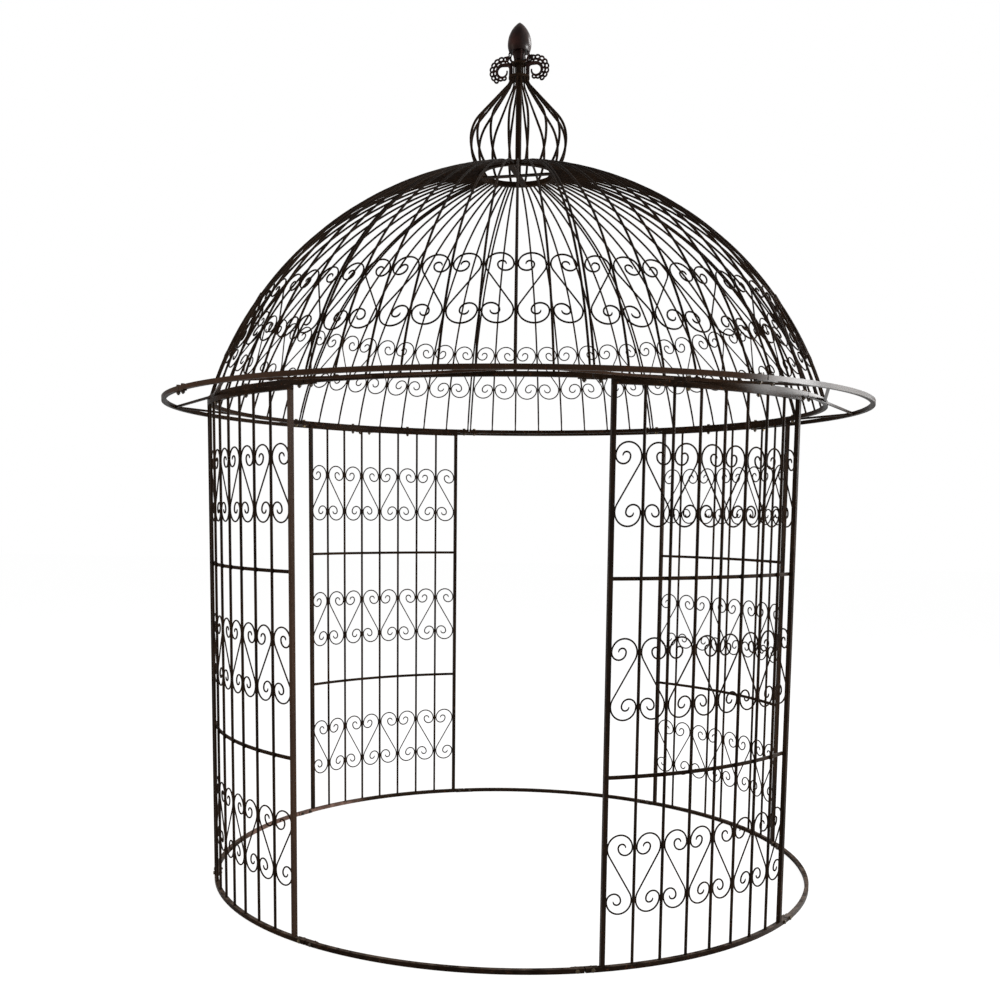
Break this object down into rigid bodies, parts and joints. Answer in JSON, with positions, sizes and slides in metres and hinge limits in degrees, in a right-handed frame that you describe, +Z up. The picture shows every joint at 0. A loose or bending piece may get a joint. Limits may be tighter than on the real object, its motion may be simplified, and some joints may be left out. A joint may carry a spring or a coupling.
{
  "type": "birdcage garden gazebo",
  "caption": "Walk-in birdcage gazebo of bolted iron sections: curved scrollwork grilles between open doorways, a ribbed dome with a braced brim, and an onion cage with an acorn finial.",
  "frame": {"origin": "on the ground, on the upright axis of the gazebo", "axes": "+Z up along the axis, the front doorway faces -Y, doorways on the four sides"},
  "size_m": [2.796, 2.796, 3.404],
  "materials": {
    "iron": "satin",
    "wire": "satin",
    "finial": "satin",
    "bolts": "satin"
  },
  "bodies": {
    "root": {"acorn_finial": "finial", "brim_front": "iron", "brim_left": "iron", "brim_rear": "iron", "brim_right": "iron", "brim_splice_plates": "iron", "crown_ring": "iron", "curled_leaves": "wire", "middle_rod": "iron", "neck_collars": "iron", "neck_stems": "iron", "onion_cage_wires": "iron", "roof_front_foot_rail": "iron", "roof_front_left_foot_rail": "iron", "roof_front_left_ribs": "iron", "roof_front_left_scrolls": "wire", "roof_front_ribs": "iron", "roof_front_right_foot_rail": "iron", "roof_front_right_ribs": "iron", "roof_front_right_scrolls": "wire", "roof_front_scrolls": "wire", "roof_left_foot_rail": "iron", "roof_left_ribs": "iron", "roof_left_scrolls": "wire", "roof_rear_foot_rail": "iron", "roof_rear_left_foot_rail": "iron", "roof_rear_left_ribs": "iron", "roof_rear_left_scrolls": "wire", "roof_rear_ribs": "iron", "roof_rear_right_foot_rail": "iron", "roof_rear_right_ribs": "iron", "roof_rear_right_scrolls": "wire", "roof_rear_scrolls": "wire", "roof_right_foot_rail": "iron", "roof_right_ribs": "iron", "roof_right_scrolls": "wire", "roof_seam_splice_plates": "iron", "sill_front": "iron", "sill_left": "iron", "sill_rear": "iron", "sill_right": "iron", "sill_splice_plates": "iron", "splice_bolts": "bolts", "wall_front_left_bars": "iron", "wall_front_left_rails": "iron", "wall_front_left_scrolls": "wire", "wall_front_left_uprights": "iron", "wall_front_right_bars": "iron", "wall_front_right_rails": "iron", "wall_front_right_scrolls": "wire", "wall_front_right_uprights": "iron", "wall_rear_left_bars": "iron", "wall_rear_left_rails": "iron", "wall_rear_left_scrolls": "wire", "wall_rear_left_uprights": "iron", "wall_rear_right_bars": "iron", "wall_rear_right_rails": "iron", "wall_rear_right_scrolls": "wire", "wall_rear_right_uprights": "iron", "wall_to_roof_bolts": "bolts"}
  },
  "joints": []
}
